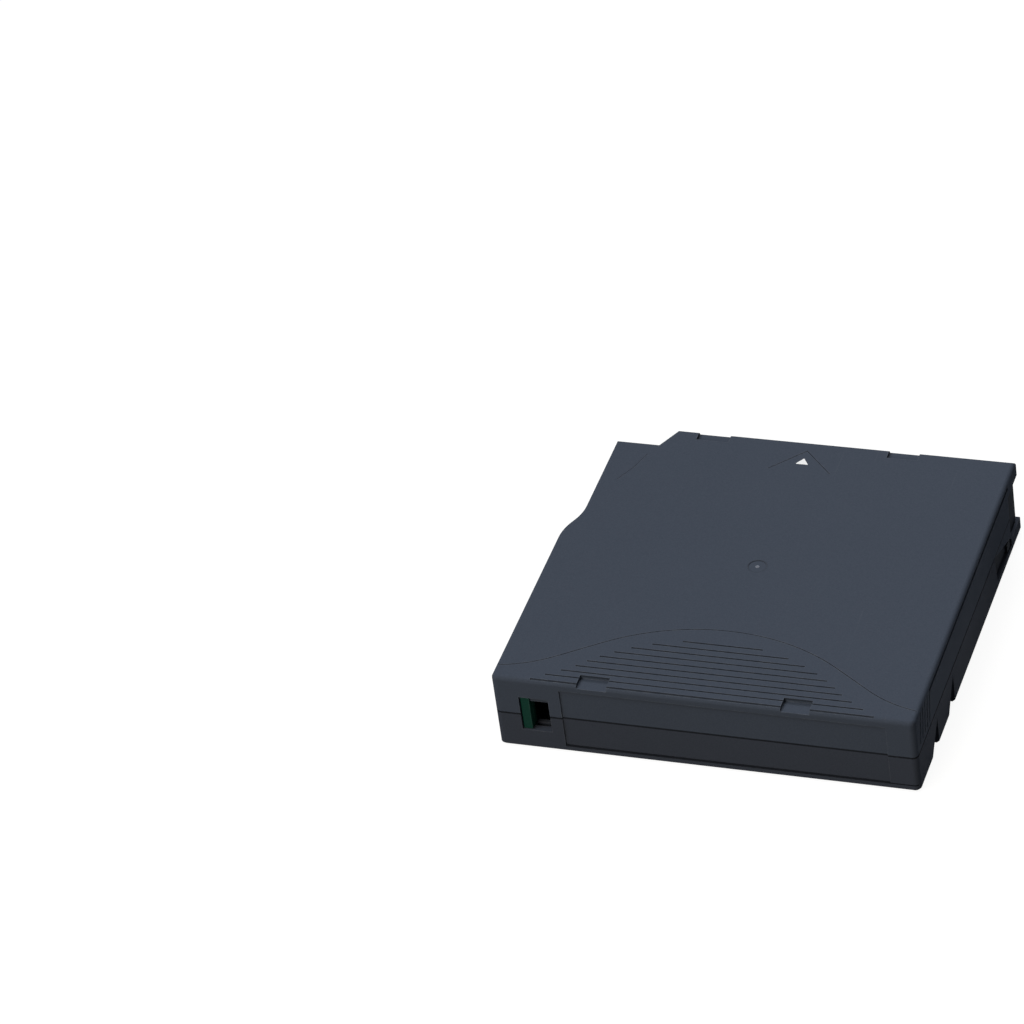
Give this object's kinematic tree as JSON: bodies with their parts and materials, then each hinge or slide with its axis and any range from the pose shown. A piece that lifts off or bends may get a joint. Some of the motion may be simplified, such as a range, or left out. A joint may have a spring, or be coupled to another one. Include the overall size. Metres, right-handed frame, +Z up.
{
  "type": "data tape cartridge",
  "caption": "Flat screwed case holding one reel of half-inch data tape, with a sliding access door, write-protect slider, reel brake and drive gear.",
  "frame": {"origin": "middle of the case's footprint on its underside; the reel turns about the Z axis through it", "axes": "+X across the case toward the access-door side, +Y the way the case goes into a drive (label face at -Y), +Z up through the top plate"},
  "size_m": [0.1054, 0.102, 0.0215],
  "materials": {
    "case_plastic": "fine-grained satin moulding, slate grey",
    "dark_plastic": "satin black moulding",
    "slider_plastic": "satin dark teal moulding",
    "reel_plastic": "natural grey glass-filled moulding",
    "flange_plastic": "pale grey moulding",
    "brake_plastic": "white acetal moulding",
    "tape": "dark brown coated tape, smooth",
    "spring_steel": "drawn spring wire",
    "pin_steel": "turned and polished steel",
    "plate_steel": "stamped and brushed steel",
    "screw_steel": "dark zinc-plated steel",
    "ring_aluminium": "turned aluminium",
    "board": "green glass-epoxy board",
    "chip": "black potting resin"
  },
  "bodies": {
    "case": {"lower_shell": "case_plastic", "upper_shell": "case_plastic", "case_screws": "screw_steel", "brake_spring": "spring_steel", "door_spring": "spring_steel", "memory_board": "board", "memory_chip": "chip", "leader_pin": "pin_steel", "leader_pin_clip": "brake_plastic", "pin_retaining_spring": "plate_steel", "leader_tape": "tape"},
    "reel": {"reel_hub": "reel_plastic", "hub_ring": "ring_aluminium", "drive_plate": "plate_steel", "upper_flange": "flange_plastic", "tape_pack": "tape"},
    "door": {"access_door": "dark_plastic"},
    "slider": {"write_protect_slider": "slider_plastic"},
    "brake": {"brake_button": "brake_plastic"},
    "release": {"release_pad": "brake_plastic"}
  },
  "joints": [
    {"name": "reel_spin", "type": "hinge", "parent": "case", "child": "reel", "pos_m": [0, 0, 0.01], "axis": [0, 0, 1], "continuous": true},
    {"name": "release_lift", "type": "slide", "parent": "reel", "child": "release", "axis": [0, 0, 1], "range_m": [0, 0.0018]},
    {"name": "brake_lift", "type": "slide", "parent": "case", "child": "brake", "axis": [0, 0, 1], "range_m": [0, 0.0018], "stiffness_N_per_m": 600, "springref_m": -0.006, "deforming": ["brake_spring"]},
    {"name": "door_slide", "type": "slide", "parent": "case", "child": "door", "axis": [0, -1, 0], "range_m": [0, 0.011], "stiffness_N_per_m": 40, "springref_m": -0.01, "deforming": ["door_spring"]},
    {"name": "write_protect_slide", "type": "slide", "parent": "case", "child": "slider", "axis": [1, 0, 0], "range_m": [0, 0.0045]}
  ],
  "couplings": [
    {"joint": "release_lift", "follows": "brake_lift", "ratio": 1}
  ]
}
